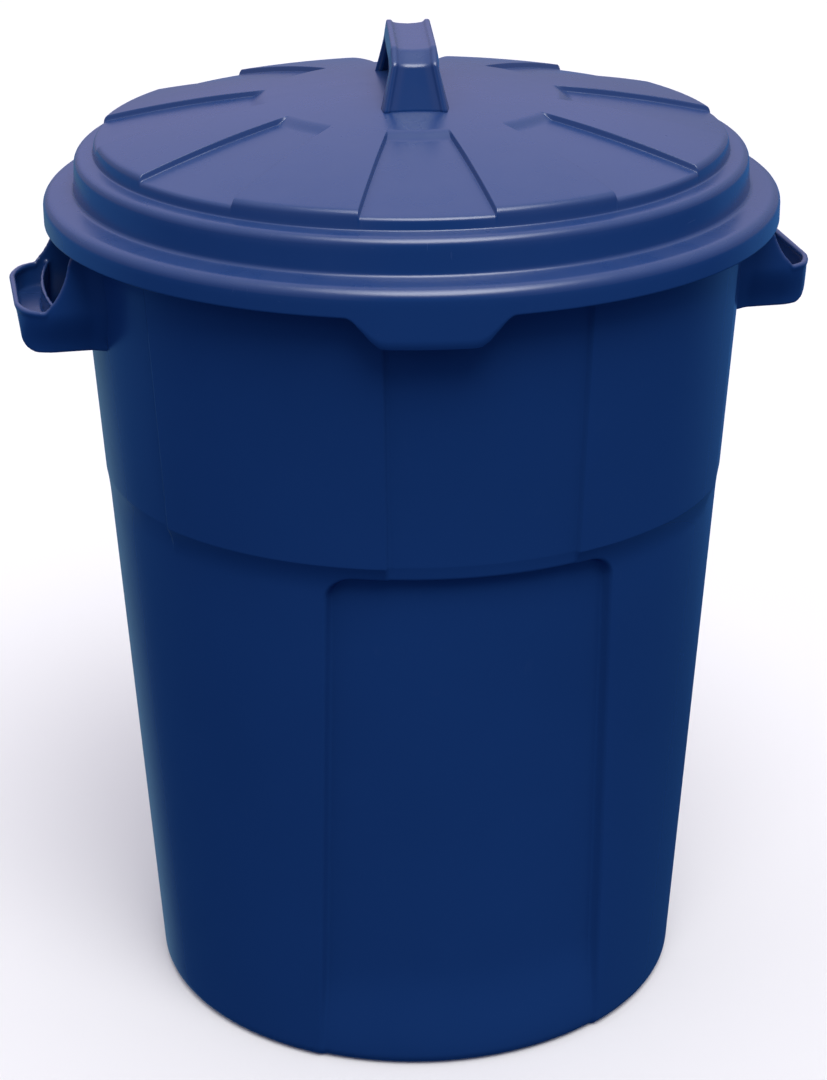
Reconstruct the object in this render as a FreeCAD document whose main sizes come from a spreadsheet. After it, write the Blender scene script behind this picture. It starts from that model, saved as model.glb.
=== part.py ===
import FreeCAD, Part

import math
import os

import Sketcher

# A round plastic refuse can, as two mouldings: a tapered tub with an open-topped handle on each side, and
# a domed lid with a strap handle. Millimetres. +Z is up, the origin is the centre of the foot ring on the
# floor, the side handles lie along X and the front of the tub faces -Y.

# Driving dimensions: alias, value, what it is.
DIMENSIONS = [
    # tub
    ("draft", 0.0633, "radius gained per unit of height by every wall of the tub"),
    ("pad_radius", 221.5, "radius of the lower wall, carried down to the floor"),
    ("collar_radius", 227.0, "radius of the proud collar panels, carried down to the floor"),
    ("collar_panel_depth", 2.5, "depth of the recessed collar panels"),
    ("front_panel_angle", 33.0, "angle taken by the recessed collar panel at the front and at the back"),
    ("side_panel_angle", 63.0, "angle taken by the recessed collar panel at each side"),
    ("collar_low", 447.0, "height where the step under the collar starts"),
    ("collar_high", 457.0, "height where the step under the collar ends"),
    ("recess_depth", 8.5, "depth of the tall recess in the front and in the back"),
    ("recess_half_top", 111.0, "half width of the tall recess at its top"),
    ("recess_half_foot", 117.5, "half width of the tall recess at the floor"),
    ("recess_high", 445.0, "height of the top of the tall recess"),
    ("recess_corner", 20.0, "radius of the upper corners of the tall recess"),
    ("tub_wall", 3.0, "wall thickness of the tub"),
    ("foot_radius", 10.0, "radius of the rounded edge round the foot"),
    ("foot_ring_inner", 190.0, "inner radius of the foot ring"),
    ("foot_lift", 6.0, "height of the raised floor inside the foot ring"),
    ("tub_top", 679.5, "height of the flat crest of the tub's rim"),
    ("rim_radius", 284.0, "outside radius of the turned-down lip of the rim"),
    ("rim_skin", 3.0, "thickness of the rim and of its lip"),
    ("rim_round", 3.0, "drop of the rim from its flat crest to the head of its lip"),
    ("rim_lip_low", 664.0, "height of the lower edge of the rim's lip"),
    ("rim_root_low", 668.0, "height where the rim leaves the wall"),
    ("crest_radius", 278.0, "outer radius of the flat crest of the rim"),
    # side handles
    ("grip_reach", 318.0, "distance from the axis to the outer face of a side handle"),
    ("grip_half", 62.0, "half length of a side handle along Y"),
    ("grip_corner", 28.0, "plan radius of the outer corners of a side handle"),
    ("grip_low", 578.0, "height of the underside of a side handle"),
    ("grip_floor", 595.0, "height of the floor of the trough in a side handle, which is open underneath"),
    ("grip_lip", 614.0, "height of the flat upper edge of a side handle"),
    ("grip_heel", 12.0, "radius of the outer lower edge of a side handle"),
    ("grip_lean", 3.0, "how far the outer face of a side handle leans in from its lip to its lower edge"),
    ("grip_wall", 3.0, "wall thickness of a side handle"),
    ("grip_hole_radius", 292.5, "distance from the axis to the far side of the hand hole"),
    ("grip_root", 240.0, "distance from the axis to where the handle's outline starts, inside the tub wall"),
    ("grip_flat_end", 298.0, "distance from the axis where the flat upper edge starts to climb to the rim"),
    ("grip_climb_end", 279.5, "distance from the axis where the climbing edge ends"),
    ("grip_climb_high", 651.0, "height where the climbing edge ends"),
    ("grip_climb_radius", 70.0, "radius of the climbing edge"),
    ("grip_under_skirt", 658.0, "height of the handle's top where the lid's skirt passes over it"),
    ("grip_inside_skirt", 276.0, "distance from the axis inside which the handle reaches the rim's lip"),
    # lid
    ("lid_skin", 2.7, "wall thickness of the lid"),
    ("lid_radius", 290.0, "outside radius of the lid's skirt"),
    ("skirt_low", 660.5, "height of the lower edge of the skirt"),
    ("skirt_high", 677.5, "height where the skirt starts to round over"),
    ("shoulder_radius", 286.5, "outer radius of the sloping shoulder above the skirt"),
    ("shoulder_high", 682.0, "height of the outer edge of the shoulder"),
    ("step_foot_radius", 265.5, "radius at the foot of the raised platform"),
    ("step_foot_high", 684.0, "height at the foot of the raised platform"),
    ("step_head_radius", 264.0, "radius at the head of the raised platform's wall"),
    ("step_head_high", 710.5, "height at the head of the raised platform's wall"),
    ("ledge_radius", 249.5, "inner radius of the ledge round the dome"),
    ("ledge_high", 712.5, "height of the ledge round the dome"),
    ("dome_radius", 248.0, "radius of the edge of the dome"),
    ("dome_edge_high", 726.0, "height of the edge of the dome"),
    ("dome_high", 758.0, "height of the middle of the dome"),
    ("channel_angle", 22.5, "angle taken by each radial channel in the dome"),
    ("channel_edge_high", 721.5, "height of a channel's floor at the edge of the dome"),
    ("channel_end_radius", 114.0, "radius where a channel's floor meets the dome"),
    ("channel_ramp", 11.0, "radial length of the short ramp at a channel's inner end"),
    ("channel_inner_depth", 4.2, "depth of a channel's floor at the foot of its ramp"),
    ("tab_low", 638.0, "height of the lower edge of the pull tab"),
    ("tab_half_top", 57.0, "half width of the pull tab at the skirt"),
    ("tab_half_low", 38.0, "half width of the pull tab at its lower edge"),
    ("tab_corner", 8.0, "length taken from each side by a rounded lower corner of the pull tab"),
    ("lid_turn", -8.3, "how far the lid is turned on the tub, seen from above, in degrees"),
    # strap handle of the lid
    ("strap_high", 800.0, "height of the top of the strap"),
    ("strap_flat_half", 50.0, "half length of the strap's flat top"),
    ("strap_bend", 66.0, "distance from the axis to the bend between shoulder and leg"),
    ("strap_bend_high", 790.0, "height of the bend between shoulder and leg"),
    ("strap_foot", 77.0, "distance from the axis to the foot of a leg"),
    ("strap_foot_high", 745.0, "height to which the legs run down, inside the dome"),
    ("strap_half_top", 17.5, "half width of the strap at its top"),
    ("strap_half_foot", 24.5, "half width of the strap at its feet"),
    ("strap_depth", 12.0, "depth of the strap's side ribs"),
    ("strap_rib", 4.5, "thickness of a side rib of the strap"),
    ("strap_recess", 2.0, "depth of the recess along the outside of the strap"),
    ("strap_web", 4.0, "thickness of the strap between its ribs"),
]

SHEET = "Dims"
CHANNELS = 8

# Lengths of the blocks that only trim other bodies.
TUB_CUT = 700.0
GRIP_CUT = 200.0
STRAP_CUT = 300.0
# An arc that rounds a corner is a little flatter than the corner, so that it always spans its two ends.
EASED = 1.03

doc = FreeCAD.newDocument("refuse_can")


def make_sheet():
    sheet = doc.addObject("Spreadsheet::Sheet", SHEET)
    for row, (alias, value, note) in enumerate(DIMENSIONS, start=1):
        sheet.set(f"A{row}", alias)
        sheet.set(f"B{row}", str(value))
        sheet.setAlias(f"B{row}", alias)
        sheet.set(f"C{row}", note)
    doc.recompute()
    return sheet


sheet = make_sheet()


def cell(text):
    """An expression over the sheet, from a formula written with bare aliases."""
    for alias in sorted((name for name, _, _ in DIMENSIONS), key=len, reverse=True):
        text = text.replace(f"[{alias}]", f"{SHEET}.{alias}")
    return text


def number(text):
    return float(sheet.evalExpression(cell(text)))


def bind(thing, prop, text):
    thing.setExpression(prop, cell(text))


# ---------------------------------------------------------------- sketches and features


def origin_plane(body, role):
    return next(item for item in body.Origin.OriginFeatures if item.Role == role)


def pin_point(sketch, geometry, point, formula, kind):
    """Fixes one coordinate of a point to a formula: kind is DistanceX or DistanceY."""
    value = number(formula)
    if abs(value) < 1e-9:
        axis = -2 if kind == "DistanceX" else -1
        sketch.addConstraint(Sketcher.Constraint("PointOnObject", geometry, point, axis))
        return
    if value > 0:
        index = sketch.addConstraint(Sketcher.Constraint(kind, -1, 1, geometry, point, value))
        bind(sketch, f"Constraints[{index}]", formula)
    else:
        index = sketch.addConstraint(Sketcher.Constraint(kind, geometry, point, -1, 1, -value))
        bind(sketch, f"Constraints[{index}]", f"-({formula})")


def arc_between(start, end, radius):
    """The arc of a signed radius from start to end: a positive one turns anticlockwise."""
    chord = end - start
    middle = (start + end) * 0.5
    left = FreeCAD.Vector(-chord.y, chord.x, 0).normalize()
    rise = math.sqrt(max(radius * radius - (chord.Length / 2) ** 2, 0.0))
    side = 1 if radius > 0 else -1
    centre = middle + left * (rise * side)
    angle_start = math.atan2(start.y - centre.y, start.x - centre.x)
    angle_end = math.atan2(end.y - centre.y, end.x - centre.x)
    circle = Part.Circle(centre, FreeCAD.Vector(0, 0, 1), abs(radius))
    if radius > 0:
        return Part.ArcOfCircle(circle, angle_start, angle_end), 1, 2
    return Part.ArcOfCircle(circle, angle_end, angle_start), 2, 1


def outline(body, name, role, corners):
    """A closed sketch through corners. A corner is (x formula, y formula), and a third entry, the signed
    radius, makes the stretch that arrives at it an arc. A fourth entry puts that arc's centre on the upright
    axis in place of fixing its radius."""
    sketch = body.newObject("Sketcher::SketchObject", name)
    sketch.AttachmentSupport = [(origin_plane(body, role), "")]
    sketch.MapMode = "FlatFace"
    points = [FreeCAD.Vector(number(corner[0]), number(corner[1]), 0) for corner in corners]
    ends = []
    for index, corner in enumerate(corners):
        start = points[index - 1]
        end = points[index]
        if len(corner) > 2:
            shape, first, last = arc_between(start, end, number(corner[2]))
        else:
            shape, first, last = Part.LineSegment(start, end), 1, 2
        ends.append((sketch.addGeometry(shape, False), first, last))
    for index, corner in enumerate(corners):
        geometry, _, last = ends[index]
        following, first, _ = ends[(index + 1) % len(ends)]
        sketch.addConstraint(Sketcher.Constraint("Coincident", geometry, last, following, first))
        pin_point(sketch, geometry, last, corner[0], "DistanceX")
        pin_point(sketch, geometry, last, corner[1], "DistanceY")
        if len(corner) == 3:
            radius = abs(number(corner[2]))
            place = sketch.addConstraint(Sketcher.Constraint("Radius", geometry, radius))
            bind(sketch, f"Constraints[{place}]", f"abs({corner[2]})")
        if len(corner) == 4:
            sketch.addConstraint(Sketcher.Constraint("PointOnObject", geometry, 3, -2))
    return sketch


def new_body(name):
    return doc.addObject("PartDesign::Body", name)


def revolve(body, name, sketch):
    """A full turn of a sketch about the upright axis."""
    feature = body.newObject("PartDesign::Revolution", name)
    feature.Profile = sketch
    feature.ReferenceAxis = (sketch, ["V_Axis"])
    feature.Angle = 360
    return feature


def grooves(body, name, sketch, angle, count):
    """Cuts a sketch turned through part of a turn about the upright axis, centred on the sketch's plane, and
    repeats the cut evenly."""
    groove = body.newObject("PartDesign::Groove", name)
    groove.Profile = sketch
    groove.ReferenceAxis = (sketch, ["V_Axis"])
    groove.Midplane = True
    bind(groove, "Angle", angle)
    pattern = body.newObject("PartDesign::PolarPattern", name + "_pattern")
    pattern.Originals = [groove]
    pattern.Axis = (sketch, ["V_Axis"])
    pattern.Angle = 360
    pattern.Occurrences = count
    body.Tip = pattern
    return pattern


def prism(name, role, corners, length=TUB_CUT):
    """A block with a closed outline, extruded the same way to both sides of an origin plane."""
    body = new_body(name)
    pad = body.newObject("PartDesign::Pad", name + "_pad")
    pad.Profile = outline(body, name + "_outline", role, corners)
    pad.Midplane = True
    pad.Length = length
    return body


def column(name, corners, low, high):
    """A block with a plan outline between two heights."""
    body = new_body(name)
    sketch = outline(body, name + "_outline", "XY_Plane", corners)
    sketch.AttachmentOffset = FreeCAD.Placement(FreeCAD.Vector(0, 0, number(low)), FreeCAD.Rotation())
    bind(sketch, "AttachmentOffset.Base.z", low)
    pad = body.newObject("PartDesign::Pad", name + "_pad")
    pad.Profile = sketch
    bind(pad, "Length", f"({high}) - ({low})")
    return body


def combine(kind, name, base, tool):
    """A boolean of two objects: kind is Cut, Fuse or Common."""
    result = doc.addObject("Part::" + kind, name)
    result.Base = base
    result.Tool = tool
    return result


# ---------------------------------------------------------------- tub


def tub_radius(base, height, inset):
    return f"[{base}] + [draft] * ({height}) - ({inset})"


def tub_profile(inset, floor, top):
    """Half section of the solid inside a wall set in by inset, from floor to top."""
    lower_edge = f"({floor}) + [foot_radius]"
    foot = tub_radius("pad_radius", floor, inset) + " - [foot_radius]"
    return [
        ("0", top),
        ("0", floor),
        (foot, floor),
        (tub_radius("pad_radius", lower_edge, inset), lower_edge, f"[foot_radius] * {EASED}"),
        (tub_radius("pad_radius", "[collar_low]", inset), "[collar_low]"),
        (tub_radius("collar_radius", "[collar_high]", inset), "[collar_high]"),
        (tub_radius("collar_radius", top, inset), top),
    ]


def panel_profile(inset):
    """Section of the ring that sets the collar panels back."""
    inner = f"{inset} + [collar_panel_depth]"
    return [
        (tub_radius("collar_radius", "[tub_top]", inner), "[tub_top] + 20"),
        (tub_radius("collar_radius", "[collar_low] + 4", inner), "[collar_low] + 4"),
        (tub_radius("collar_radius", "[collar_low] + 4", inset) + " + 12", "[collar_low] + 4"),
        (tub_radius("collar_radius", "[tub_top]", inset) + " + 12", "[tub_top] + 20"),
    ]


def tub_solid(name, inset, floor, top):
    """The tub as a full solid, set in by inset: the outside, or the room inside it."""
    body = new_body(name + "_round")
    profile = outline(body, name + "_profile", "XZ_Plane", tub_profile(inset, floor, top))
    revolve(body, name + "_turn", profile)
    side = outline(body, name + "_side_panel", "XZ_Plane", panel_profile(inset))
    grooves(body, name + "_side_panels", side, "[side_panel_angle]", 2)
    front = outline(body, name + "_front_panel", "YZ_Plane", panel_profile(inset))
    grooves(body, name + "_front_panels", front, "[front_panel_angle]", 2)

    depth = f"{inset} + [recess_depth]"
    ring = new_body(name + "_recess_ring")
    ring_corners = [
        (tub_radius("pad_radius", "0", depth) + " - [draft] * 10", "-10"),
        (tub_radius("pad_radius", "0", depth) + " + 60", "-10"),
        (tub_radius("pad_radius", "0", depth) + " + 60", "[recess_high] + 20"),
        (tub_radius("pad_radius", "[recess_high] + 20", depth), "[recess_high] + 20"),
    ]
    revolve(ring, name + "_recess_turn", outline(ring, name + "_recess_profile", "XZ_Plane", ring_corners))
    high = f"[recess_high] + {inset}"
    corner = "[recess_corner]"
    half_top = f"[recess_half_top] + {inset}"
    half_foot = f"[recess_half_foot] + {inset}"
    panel = prism(
        name + "_recess_panel",
        "XZ_Plane",
        [
            (f"-({half_foot})", "-20"),
            (half_foot, "-20"),
            (half_top, f"{high} - {corner}"),
            (f"{half_top} - {corner}", high, f"{corner} * {EASED}"),
            (f"-({half_top}) + {corner}", high),
            (f"-({half_top})", f"{high} - {corner}", f"{corner} * {EASED}"),
        ],
    )
    recesses = combine("Common", name + "_recesses", ring, panel)
    return combine("Cut", name, body, recesses)


def tub_rim():
    """The rim: a flange that turns out from the wall and a lip that hangs from it."""
    inner = tub_radius("collar_radius", "[tub_top]", "[tub_wall] + [collar_panel_depth]")
    outer = tub_radius("collar_radius", "[tub_top]", "[tub_wall] - [collar_panel_depth]")
    under_flange = "[tub_top] - [rim_round] - [rim_skin]"
    body = new_body("tub_rim")
    corners = [
        (inner, "[tub_top]"),
        (inner, "[rim_root_low]"),
        (outer, "[rim_root_low]"),
        (outer + " + [rim_round]", under_flange),
        ("[rim_radius] - [rim_skin]", under_flange),
        ("[rim_radius] - [rim_skin]", "[rim_lip_low]"),
        ("[rim_radius]", "[rim_lip_low]"),
        ("[rim_radius]", "[tub_top] - [rim_round]"),
        ("[crest_radius]", "[tub_top]"),
    ]
    revolve(body, "tub_rim_turn", outline(body, "tub_rim_profile", "XZ_Plane", corners))
    return body


def make_tub():
    outside = tub_solid("tub_outside", "0", "0", "[tub_top]")
    room = tub_solid("tub_room", "[tub_wall]", "[foot_lift] + [tub_wall]", "[tub_top] + 10")
    hollow = combine("Cut", "tub_hollow", outside, room)
    dish = new_body("foot_dish")
    dish_corners = [
        ("0", "-5"),
        ("[foot_ring_inner] + 5", "-5"),
        ("[foot_ring_inner] + 4", "0"),
        ("[foot_ring_inner]", "[foot_lift]"),
        ("0", "[foot_lift]"),
    ]
    revolve(dish, "foot_dish_turn", outline(dish, "foot_dish_profile", "XZ_Plane", dish_corners))
    footed = combine("Cut", "tub_footed", hollow, dish)
    rimmed = combine("Fuse", "tub_shell", footed, tub_rim())
    return rimmed, outside


# ---------------------------------------------------------------- side handles


def grip_plan(inset):
    """Plan of the handle's outer wall, set in by inset."""
    reach = f"[grip_reach] - {inset}"
    half = f"[grip_half] - {inset}"
    corner = f"[grip_corner] - {inset}"
    return [
        ("[grip_root]", half),
        ("[grip_root]", f"-({half})"),
        (f"{reach} - ({corner})", f"-({half})"),
        (reach, f"-({half}) + {corner}", f"({corner}) * {EASED}"),
        (reach, f"{half} - ({corner})"),
        (f"{reach} - ({corner})", half, f"({corner}) * {EASED}"),
    ]


def hole_plan(radius):
    """Plan of the room inside a circle about the upright axis, as wide as the room inside the handle."""
    half = "([grip_half] - [grip_wall])"
    end = f"sqrt(({radius})^2 - {half}^2)"
    return [("[grip_root]", half), ("[grip_root]", f"-{half}"), (end, f"-{half}"), (end, half, radius)]


def channel_plan():
    """Plan of the open channel between the handle's outer wall and the arc that bounds the hand hole."""
    half = "([grip_half] - [grip_wall])"
    corner = "([grip_corner] - [grip_wall])"
    reach = "([grip_reach] - [grip_wall])"
    radius = "([grip_hole_radius] + [grip_wall])"
    end = f"sqrt({radius}^2 - {half}^2)"
    return [
        (end, f"-{half}", f"-{radius}"),
        (f"{reach} - {corner}", f"-{half}"),
        (reach, f"-{half} + {corner}", f"({corner}) * {EASED}"),
        (reach, f"{half} - {corner}"),
        (f"{reach} - {corner}", half, f"({corner}) * {EASED}"),
        (end, half),
    ]


def grip_section(inset):
    """Side view of the handle's outside, set in by inset: a leaning outer face and a rounded heel."""
    reach = f"[grip_reach] - ({inset})"
    foot = f"[grip_low] + {inset}"
    return [
        ("[grip_root]", foot),
        ("[grip_reach] - [grip_lean] - [grip_heel]", foot),
        (f"{reach} - [grip_lean]", "[grip_low] + [grip_heel]", f"([grip_heel] - {inset}) * {EASED}"),
        (reach, "[grip_lip]"),
        (reach, "[tub_top]"),
        ("[grip_root]", "[tub_top]"),
    ]


def under_section():
    """Side view of the room under the floor of the trough, open downwards."""
    heel = "[grip_reach] - [grip_lean] - [grip_heel]"
    ceiling = "[grip_floor] - [grip_wall]"
    return [
        ("[grip_root]", "[grip_low] - 1"),
        (heel, "[grip_low] - 1"),
        (heel, "[grip_low] + [grip_wall]"),
        (
            "[grip_reach] - [grip_wall] - [grip_lean]",
            "[grip_low] + [grip_heel]",
            f"([grip_heel] - [grip_wall]) * {EASED}",
        ),
        ("[grip_reach] - [grip_wall] - [grip_lean]", ceiling),
        ("[grip_root]", ceiling),
    ]


def edge_block():
    """What is cut away above the upper edge of the handle, which is flat and then climbs to the rim."""
    return [
        ("[grip_reach] + 10", "[grip_lip]"),
        ("[grip_reach] + 10", "[tub_top]"),
        ("[grip_inside_skirt]", "[tub_top]"),
        ("[grip_inside_skirt]", "[grip_under_skirt]"),
        ("[grip_climb_end] - 3", "[grip_under_skirt]"),
        ("[grip_climb_end]", "[grip_climb_high]"),
        ("[grip_flat_end]", "[grip_lip]", "[grip_climb_radius]"),
    ]


def make_side_handle(name, turn, outside):
    """A shallow trough round a hand hole, open upwards and hollow below, whose end walls climb to the rim."""
    low = "[grip_low] - 1"
    high = "[rim_lip_low] + 1"
    bodies = [
        column(name + "_loop", grip_plan("0"), low, "[rim_lip_low]"),
        prism(name + "_loop_side", "XZ_Plane", grip_section("0"), GRIP_CUT),
        column(name + "_channel", channel_plan(), "[grip_floor]", high),
        prism(name + "_channel_side", "XZ_Plane", grip_section("[grip_wall]"), GRIP_CUT),
        column(name + "_under", channel_plan(), low, "[grip_floor] - [grip_wall]"),
        prism(name + "_under_side", "XZ_Plane", under_section(), GRIP_CUT),
        column(name + "_hole", hole_plan("[grip_hole_radius]"), low, high),
        column(name + "_inner_edge", hole_plan("[grip_hole_radius] + [grip_wall] + 1"), "[grip_lip]", high),
        prism(name + "_edge", "XZ_Plane", edge_block(), GRIP_CUT),
    ]
    for body in bodies:
        body.Placement = FreeCAD.Placement(FreeCAD.Vector(), FreeCAD.Rotation(FreeCAD.Vector(0, 0, 1), turn))
    loop, loop_side, channel, channel_side, under, under_side, hole, inner_edge, edge = bodies
    block = combine("Common", name + "_block", loop, loop_side)
    room = combine("Common", name + "_room", channel, channel_side)
    trough = combine("Cut", name + "_trough", block, room)
    under_room = combine("Common", name + "_under_room", under, under_side)
    walled = combine("Cut", name + "_walled", trough, under_room)
    holed = combine("Cut", name + "_holed", walled, hole)
    stepped = combine("Cut", name + "_stepped", holed, inner_edge)
    trimmed = combine("Cut", name + "_trimmed", stepped, edge)
    return combine("Cut", name, trimmed, outside)


# ---------------------------------------------------------------- lid


DOME_RISE = "([dome_high] - [dome_edge_high])"
DOME_BALL = f"(([dome_radius]^2 + {DOME_RISE}^2) / (2 * {DOME_RISE}))"


def dome_height(radius, skin="0"):
    """Height at a radius of the dome, part of a ball, or of its inner face set in by skin."""
    return f"[dome_high] - {DOME_BALL} + sqrt(({DOME_BALL} - {skin})^2 - ({radius})^2)"


def lid_profile(skin, low):
    """Half section of the solid under a surface set in by skin, from the height low upwards."""
    edge = f"[dome_radius] - {skin}"
    return [
        ("0", low),
        (f"[lid_radius] - {skin}", low),
        (f"[lid_radius] - {skin}", f"[skirt_high] - {skin}"),
        (f"[shoulder_radius] - {skin}", f"[shoulder_high] - {skin}", "4.2"),
        (f"[step_foot_radius] - {skin}", f"[step_foot_high] - {skin}"),
        (f"[step_head_radius] - {skin}", f"[step_head_high] - {skin}"),
        (f"[ledge_radius] - {skin}", f"[ledge_high] - {skin}"),
        (edge, dome_height(edge, skin)),
        ("0", f"[dome_high] - {skin}", f"{DOME_BALL} - {skin}", "centred"),
    ]


def channel_profile(skin):
    """Section of a radial channel: a short ramp down from the dome, then a floor that falls to the edge."""
    ramp_foot = "[channel_end_radius] + [channel_ramp]"
    return [
        (f"[channel_end_radius] - {skin}", dome_height("[channel_end_radius]") + f" - {skin}"),
        (f"{ramp_foot} - {skin}", dome_height(ramp_foot) + f" - [channel_inner_depth] - {skin}"),
        (f"[dome_radius] + 0.3 - {skin}", f"[channel_edge_high] - {skin}"),
        (f"[dome_radius] + 8 - {skin}", f"[channel_edge_high] - {skin}"),
        (f"[dome_radius] + 8 - {skin}", f"[dome_high] + 6 - {skin}"),
        (f"[channel_end_radius] - {skin}", f"[dome_high] + 6 - {skin}"),
    ]


def lid_solid(name, skin, low, angle):
    body = new_body(name)
    profile = outline(body, name + "_profile", "XZ_Plane", lid_profile(skin, low))
    revolve(body, name + "_turn", profile)
    channel = outline(body, name + "_channel", "XZ_Plane", channel_profile(skin))
    grooves(body, name + "_channels", channel, angle, CHANNELS)
    return body


def make_pull_tab():
    """The tab that hangs from the front of the skirt."""
    ring = new_body("tab_ring")
    skin = "[lid_skin]"
    corners = [
        (f"[lid_radius] - {skin}", "[tab_low] - 5"),
        ("[lid_radius]", "[tab_low] - 5"),
        ("[lid_radius]", "[skirt_low] + 5"),
        (f"[lid_radius] - {skin}", "[skirt_low] + 5"),
    ]
    revolve(ring, "tab_ring_turn", outline(ring, "tab_ring_profile", "XZ_Plane", corners))
    run = "([tab_half_top] - [tab_half_low])"
    drop = "([skirt_low] - [tab_low])"
    side = f"sqrt({run}^2 + {drop}^2)"
    corner_x = f"[tab_half_low] + [tab_corner] * {run} / {side}"
    corner_z = f"[tab_low] + [tab_corner] * {drop} / {side}"
    corner_radius = f"[tab_corner] * {drop} / ({side} - {run})"
    shape_corners = [
        ("[tab_half_low] - [tab_corner]", "[tab_low]"),
        (corner_x, corner_z, corner_radius),
        ("[tab_half_top]", "[skirt_low]"),
        ("[tab_half_top]", "[skirt_low] + 5"),
        ("-[tab_half_top]", "[skirt_low] + 5"),
        ("-[tab_half_top]", "[skirt_low]"),
        (f"-({corner_x})", corner_z),
        ("-[tab_half_low] + [tab_corner]", "[tab_low]", corner_radius),
    ]
    shape = new_body("tab_shape")
    pad = shape.newObject("PartDesign::Pad", "tab_shape_pad")
    pad.Profile = outline(shape, "tab_shape_outline", "XZ_Plane", shape_corners)
    pad.Length = TUB_CUT / 2
    return combine("Common", "pull_tab", ring, shape), ring, shape


def make_lid():
    skin = "[lid_skin]"
    outside = lid_solid("lid_outside", "0", "[skirt_low]", "[channel_angle]")
    room = lid_solid("lid_room", skin, "[skirt_low] - 10", "[channel_angle] + 1.6")
    shell = combine("Cut", "lid_hollow", outside, room)
    tab, ring, shape = make_pull_tab()
    return combine("Fuse", "lid_shell", shell, tab), outside, [outside, room, ring, shape]


def strap_path(inset):
    """Side view of the strap's path, set in by inset, from its front foot over the top to its back foot."""
    foot = f"[strap_foot] - ({inset})"
    bend = f"[strap_bend] - ({inset})"
    flat = f"[strap_flat_half] - 0.4 * ({inset})"
    low = "[strap_foot_high]"
    bend_high = f"[strap_bend_high] - 0.7 * ({inset})"
    high = f"[strap_high] - ({inset})"
    front = [(f"-({foot})", low), (f"-({bend})", bend_high), (f"-({flat})", high)]
    back = [(flat, high), (bend, bend_high), (foot, low)]
    return front + back


def strap_band(name, outer, inner, half_taken):
    """A band that follows the strap's path between two depths, as wide as the strap less what is taken."""
    corners = strap_path(outer) + list(reversed(strap_path(inner)))
    band = prism(name + "_side", "YZ_Plane", corners, 100.0)
    top = f"[strap_half_top] - {half_taken}"
    foot = f"[strap_half_foot] - {half_taken}"
    front = [
        (f"-({foot})", "[strap_foot_high] - 1"),
        (foot, "[strap_foot_high] - 1"),
        (top, "[strap_bend_high]"),
        (top, "[strap_high] + 10"),
        (f"-({top})", "[strap_high] + 10"),
        (f"-({top})", "[strap_bend_high]"),
    ]
    face = prism(name + "_front", "XZ_Plane", front, STRAP_CUT)
    return combine("Common", name, band, face), [band, face]


def make_strap(lid_outside):
    """The lid's handle: a strap with a rib along each side, recessed between them above and below."""
    whole, whole_bodies = strap_band("strap_whole", "0", "[strap_depth]", "0")
    above, above_bodies = strap_band("strap_above", "-8", "[strap_recess]", "[strap_rib]")
    web_inside = "[strap_recess] + [strap_web]"
    under, under_bodies = strap_band("strap_under", web_inside, "[strap_depth] + 8", "[strap_rib]")
    topped = combine("Cut", "strap_topped", whole, above)
    ribbed = combine("Cut", "strap_ribbed", topped, under)
    return combine("Cut", "lid_strap_handle", ribbed, lid_outside), whole_bodies + above_bodies + under_bodies


def turn_lid(bodies):
    """Turns the lid's bodies together about the upright axis."""
    turn = FreeCAD.Rotation(FreeCAD.Vector(0, 0, 1), number("[lid_turn]"))
    for body in bodies:
        body.Placement = FreeCAD.Placement(FreeCAD.Vector(), turn)


# ---------------------------------------------------------------- build, test and write

tub, tub_outside = make_tub()
right_handle = make_side_handle("right_side_handle", 0, tub_outside)
left_handle = make_side_handle("left_side_handle", 180, tub_outside)
lid, lid_outside, lid_bodies = make_lid()
strap, strap_bodies = make_strap(lid_outside)
turn_lid(lid_bodies + strap_bodies)
doc.recompute()

NODES = {
    "tub_shell": tub,
    "right_side_handle": right_handle,
    "left_side_handle": left_handle,
    "lid_shell": lid,
    "lid_strap_handle": strap,
}

for item in doc.Objects:
    if "Invalid" in item.State or "Error" in item.State:
        raise RuntimeError(f"{item.Name} failed: {item.State}")

os.makedirs("parts", exist_ok=True)
for node, item in NODES.items():
    item.Label = node
    shape = item.Shape
    if shape.isNull() or not shape.isValid() or len(shape.Solids) != 1:
        raise RuntimeError(f"{node} is not one valid solid: {len(shape.Solids)} solids")
    shape.exportStep(f"parts/{node}.step")
    box = shape.BoundBox
    size = [round(v, 1) for v in (box.XMin, box.YMin, box.ZMin, box.XMax, box.YMax, box.ZMax)]
    print(node, "volume", round(shape.Volume / 1000.0, 1), "cm3, box", size)
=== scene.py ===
import math

import bmesh
import bpy
import numpy as np
from mathutils import Matrix, Vector


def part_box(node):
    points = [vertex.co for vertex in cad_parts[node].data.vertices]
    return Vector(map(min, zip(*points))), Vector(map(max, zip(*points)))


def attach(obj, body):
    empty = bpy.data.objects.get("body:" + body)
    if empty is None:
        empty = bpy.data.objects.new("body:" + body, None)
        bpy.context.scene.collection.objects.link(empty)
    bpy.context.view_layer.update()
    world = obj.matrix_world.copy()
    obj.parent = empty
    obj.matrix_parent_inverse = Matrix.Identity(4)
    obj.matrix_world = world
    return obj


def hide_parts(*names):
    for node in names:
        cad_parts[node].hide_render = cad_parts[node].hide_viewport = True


# A round navy refuse can: a tapered tub with two trough-shaped side handles, and a loose domed
# lid with radial channels, a pull tab and a strap handle. Metres, in the frame of the CAD model:
# +Z up, the side handles along X, the front of the tub towards -Y. Azimuths are measured from
# the front of a piece towards +X. The small quads of each skin come from the steps given with
# its sections; an inset of 0 gives the outside of a wall, and the wall's thickness its inside.

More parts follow.
